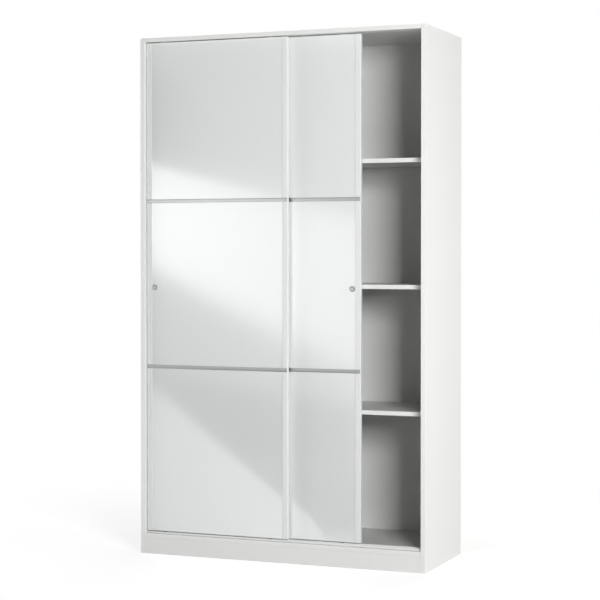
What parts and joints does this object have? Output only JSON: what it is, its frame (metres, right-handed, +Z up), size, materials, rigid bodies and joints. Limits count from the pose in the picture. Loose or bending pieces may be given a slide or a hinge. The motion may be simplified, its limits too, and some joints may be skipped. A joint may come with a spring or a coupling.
{
  "type": "sliding door cabinet",
  "caption": "Tall white cabinet with two inset sliding doors on tracks, each with gloss panels, crossbars and a round finger pull, over shelved bays on a low plinth.",
  "frame": {"origin": "on the floor, in the middle of the cabinet's width and depth", "axes": "+X to the right as seen from the front, +Y to the back, +Z up"},
  "size_m": [1.16, 0.45, 2],
  "materials": {
    "white_board": "white melamine on board, satin",
    "white_back": "white lacquered hardboard, satin",
    "gloss_panel": "white high gloss",
    "satin_profile": "white satin powder coat",
    "satin_metal": "satin anodised",
    "white_plastic": "satin",
    "dark_plastic": "satin",
    "bright_steel": "zinc plated"
  },
  "bodies": {
    "cabinet": {"left_side": "white_board", "right_side": "white_board", "top_board": "white_board", "bottom_board": "white_board", "partition": "white_board", "front_plinth": "white_board", "rear_plinth": "white_board", "left_lower_shelf": "white_board", "left_middle_shelf": "white_board", "left_upper_shelf": "white_board", "right_lower_shelf": "white_board", "right_middle_shelf": "white_board", "right_upper_shelf": "white_board", "back_panel_left": "white_back", "back_panel_right": "white_back", "back_joint_strip": "white_plastic", "bottom_track": "white_plastic", "front_guide_channel": "white_plastic", "rear_guide_channel": "white_plastic"},
    "left_door": {"left_door_left_stile": "satin_profile", "left_door_right_stile": "satin_profile", "left_door_lower_bar": "satin_metal", "left_door_upper_bar": "satin_metal", "left_door_bottom_panel": "gloss_panel", "left_door_middle_panel": "gloss_panel", "left_door_top_panel": "gloss_panel", "left_door_finger_pull": "satin_metal", "left_door_left_carriage": "white_plastic", "left_door_right_carriage": "white_plastic", "left_door_left_axle": "bright_steel", "left_door_right_axle": "bright_steel", "left_door_left_top_guide": "white_plastic", "left_door_right_top_guide": "white_plastic"},
    "right_door": {"right_door_left_stile": "satin_profile", "right_door_right_stile": "satin_profile", "right_door_lower_bar": "satin_metal", "right_door_upper_bar": "satin_metal", "right_door_bottom_panel": "gloss_panel", "right_door_middle_panel": "gloss_panel", "right_door_top_panel": "gloss_panel", "right_door_finger_pull": "satin_metal", "right_door_left_carriage": "white_plastic", "right_door_right_carriage": "white_plastic", "right_door_left_axle": "bright_steel", "right_door_right_axle": "bright_steel", "right_door_left_top_guide": "white_plastic", "right_door_right_top_guide": "white_plastic"},
    "left_door_left_wheel": {"left_door_left_wheel": "dark_plastic"},
    "left_door_right_wheel": {"left_door_right_wheel": "dark_plastic"},
    "right_door_left_wheel": {"right_door_left_wheel": "dark_plastic"},
    "right_door_right_wheel": {"right_door_right_wheel": "dark_plastic"}
  },
  "joints": [
    {"name": "left_door_slide", "type": "slide", "parent": "cabinet", "child": "left_door", "axis": [1, 0, 0], "range_m": [0, 0.528]},
    {"name": "right_door_slide", "type": "slide", "parent": "cabinet", "child": "right_door", "axis": [1, 0, 0], "range_m": [-0.284, 0.244]},
    {"name": "left_door_left_wheel_spin", "type": "hinge", "parent": "left_door", "child": "left_door_left_wheel", "pos_m": [-0.485, -0.2001, 0.0946], "axis": [0, 1, 0], "continuous": true},
    {"name": "left_door_right_wheel_spin", "type": "hinge", "parent": "left_door", "child": "left_door_right_wheel", "pos_m": [-0.043, -0.2001, 0.0946], "axis": [0, 1, 0], "continuous": true},
    {"name": "right_door_left_wheel_spin", "type": "hinge", "parent": "right_door", "child": "right_door_left_wheel", "pos_m": [-0.201, -0.1771, 0.0946], "axis": [0, 1, 0], "continuous": true},
    {"name": "right_door_right_wheel_spin", "type": "hinge", "parent": "right_door", "child": "right_door_right_wheel", "pos_m": [0.241, -0.1771, 0.0946], "axis": [0, 1, 0], "continuous": true}
  ],
  "couplings": [
    {"joint": "left_door_left_wheel_spin", "follows": "left_door_slide", "rad_per_m": 111.11},
    {"joint": "left_door_right_wheel_spin", "follows": "left_door_slide", "rad_per_m": 111.11},
    {"joint": "right_door_left_wheel_spin", "follows": "right_door_slide", "rad_per_m": 111.11},
    {"joint": "right_door_right_wheel_spin", "follows": "right_door_slide", "rad_per_m": 111.11}
  ]
}
